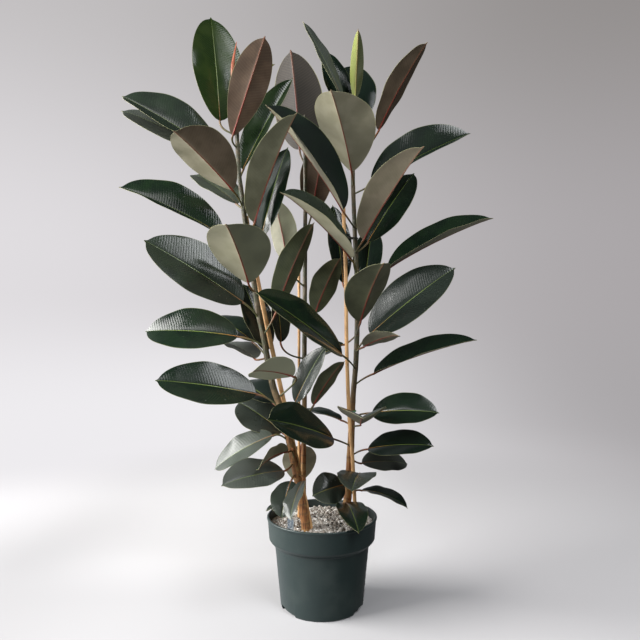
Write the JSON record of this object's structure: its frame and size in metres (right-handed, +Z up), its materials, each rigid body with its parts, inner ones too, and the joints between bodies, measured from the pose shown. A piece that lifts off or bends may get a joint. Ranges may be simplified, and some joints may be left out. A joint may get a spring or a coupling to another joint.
{
  "type": "potted rubber plant",
  "caption": "Rubber plant with large leathery oval leaves on upright stems tied to thin canes, standing in pale granules in a round plastic nursery pot.",
  "frame": {"origin": "centre of the pot's flat underside, on the surface it stands on", "axes": "+Z up along the plant, -Y the front of the picture, +X to the right"},
  "size_m": [0.9314, 0.4375, 1.4581],
  "materials": {
    "pot": "satin dark blue-green moulded plastic",
    "granules": "rough pale pumice and clay granules",
    "stem": "satin bark, brown low down and olive green higher up",
    "cane": "satin peeled cane",
    "leaf": "glossy dark green upper side, satin olive-khaki underside with a red midrib",
    "tie_upper": "matt dark twist band",
    "tie_lower": "matt green band",
    "stake": "clear bluish plastic strip"
  },
  "bodies": {
    "root": {"pot": "pot", "substrate": "granules", "label_stake": "stake", "tie_upper": "tie_upper", "tie_lower": "tie_lower", "cane_left": "cane", "cane_middle": "cane", "cane_right": "cane", "leaf_left_01": "leaf", "leaf_left_02": "leaf", "leaf_left_03": "leaf", "leaf_pair_left_04": "leaf", "leaf_left_05": "leaf", "leaf_pair_left_06": "leaf", "leaf_pair_left_07": "leaf", "leaf_left_08": "leaf", "leaf_left_09": "leaf", "leaf_left_10": "leaf", "leaf_left_11": "leaf", "leaf_left_12": "leaf", "leaf_pair_left_13": "leaf", "leaf_left_14": "leaf", "leaf_left_15": "leaf", "leaf_pair_left_16": "leaf", "leaf_pair_left_17": "leaf", "leaf_pair_left_18": "leaf", "leaf_pair_left_19": "leaf", "leaf_left_20": "leaf", "stem_left": "stem", "leaf_middle_01": "leaf", "leaf_middle_02": "leaf", "leaf_middle_03": "leaf", "leaf_middle_04": "leaf", "leaf_middle_05": "leaf", "leaf_pair_middle_06": "leaf", "leaf_middle_07": "leaf", "stem_middle": "stem", "leaf_right_01": "leaf", "leaf_pair_right_02": "leaf", "leaf_right_03": "leaf", "leaf_right_04": "leaf", "leaf_right_05": "leaf", "leaf_right_06": "leaf", "leaf_right_07": "leaf", "leaf_pair_right_08": "leaf", "leaf_right_09": "leaf", "leaf_pair_right_10": "leaf", "leaf_right_11": "leaf", "leaf_pair_right_12": "leaf", "leaf_pair_right_13": "leaf", "leaf_right_14": "leaf", "leaf_right_15": "leaf", "leaf_right_16": "leaf", "leaf_pair_right_17": "leaf", "leaf_right_18": "leaf", "leaf_pair_right_19": "leaf", "leaf_pair_right_20": "leaf", "leaf_right_21": "leaf", "leaf_right_22": "leaf", "stem_right": "stem"}
  },
  "joints": []
}
